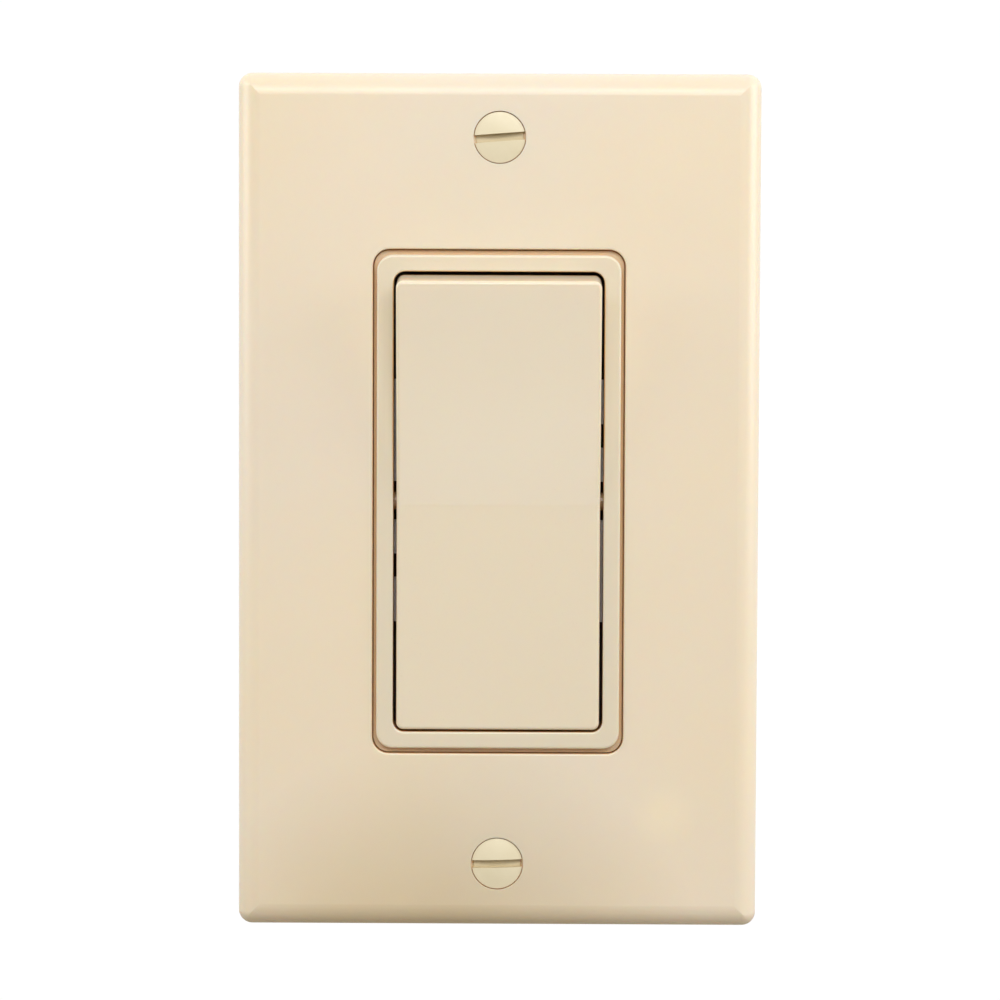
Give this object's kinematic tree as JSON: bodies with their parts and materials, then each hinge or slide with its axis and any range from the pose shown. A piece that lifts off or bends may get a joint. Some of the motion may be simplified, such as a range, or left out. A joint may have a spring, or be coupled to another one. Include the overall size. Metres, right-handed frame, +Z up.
{
  "type": "wall light switch",
  "caption": "Decorator rocker wall switch with a one-gang wall plate: tilting paddle, metal strap, back body with clamp terminals and a rocking contact arm.",
  "frame": {"origin": "centre of the wall plate's rim, on the wall's surface", "axes": "+Z up, +X to the right of someone facing the wall, +Y into the wall; the paddle faces -Y"},
  "size_m": [0.0698, 0.0357, 0.1142],
  "materials": {
    "ivory_plate": "satin ivory, slightly glossy",
    "ivory_bezel": "satin ivory",
    "ivory_paddle": "satin ivory",
    "screw_paint": "ivory paint on steel",
    "zinc_strap": "bright zinc plate",
    "nylon": "natural nylon",
    "spring_steel": "drawn wire",
    "brass_arm": "rolled brass strip",
    "silver": "silver alloy",
    "brass_terminal": "stamped brass",
    "base_plastic": "dark moulded thermoset",
    "cover_plastic": "dark brown moulded",
    "green_screw": "green-coated steel",
    "rivet_steel": "zinc-plated steel",
    "box_screw_steel": "zinc-plated steel",
    "fibre": "vulcanised fibre",
    "clamp_steel": "zinc-plated steel",
    "brass_screw": "brass-plated screw"
  },
  "bodies": {
    "device": {"wall_plate": "ivory_plate", "plate_screw_upper": "screw_paint", "plate_screw_lower": "screw_paint", "bezel": "ivory_bezel", "strap": "zinc_strap", "fixed_contact": "silver", "line_terminal": "brass_terminal", "load_terminal": "brass_terminal", "base": "base_plastic", "inner_cover": "cover_plastic", "rivet_upper": "rivet_steel", "rivet_lower": "rivet_steel", "box_screw_upper": "box_screw_steel", "box_screw_lower": "box_screw_steel", "screw_keeper_upper": "fibre", "screw_keeper_lower": "fibre", "ground_screw": "green_screw"},
    "paddle": {"paddle": "ivory_paddle", "plunger_spring": "spring_steel"},
    "plunger": {"plunger": "nylon"},
    "contact_arm": {"contact_arm": "brass_arm", "moving_contact": "silver"},
    "clamp_line": {"wire_clamp_line": "clamp_steel"},
    "screw_line": {"terminal_screw_line": "brass_screw"},
    "clamp_load": {"wire_clamp_load": "clamp_steel"},
    "screw_load": {"terminal_screw_load": "brass_screw"}
  },
  "joints": [
    {"name": "paddle_tilt", "type": "hinge", "parent": "device", "child": "paddle", "pos_m": [0, -0.002, 0], "axis": [1, 0, 0], "range_deg": [-9, 0]},
    {"name": "contact_tilt", "type": "hinge", "parent": "device", "child": "contact_arm", "pos_m": [0, 0.0134, 0], "axis": [1, 0, 0], "range_deg": [0, 12]},
    {"name": "plunger_slide", "type": "slide", "parent": "paddle", "child": "plunger", "axis": [0, -0.9969, -0.0785], "range_m": [0, 0.001], "stiffness_N_per_m": 400, "springref_m": -0.004, "deforming": ["plunger_spring"]},
    {"name": "clamp_slide_line", "type": "slide", "parent": "device", "child": "clamp_line", "axis": [1, 0, 0], "range_m": [0, 0.0022]},
    {"name": "screw_turn_line", "type": "hinge", "parent": "clamp_line", "child": "screw_line", "pos_m": [0.0133, 0.0145, 0.019], "axis": [1, 0, 0], "range_deg": [0, 997.8]},
    {"name": "clamp_slide_load", "type": "slide", "parent": "device", "child": "clamp_load", "axis": [1, 0, 0], "range_m": [0, 0.0022]},
    {"name": "screw_turn_load", "type": "hinge", "parent": "clamp_load", "child": "screw_load", "pos_m": [0.0133, 0.0145, -0.019], "axis": [1, 0, 0], "range_deg": [0, 997.8]}
  ],
  "couplings": [
    {"joint": "contact_tilt", "follows": "paddle_tilt", "ratio": -1.3333},
    {"joint": "screw_turn_line", "follows": "clamp_slide_line", "rad_per_m": 7915.8},
    {"joint": "screw_turn_load", "follows": "clamp_slide_load", "rad_per_m": 7915.8}
  ]
}
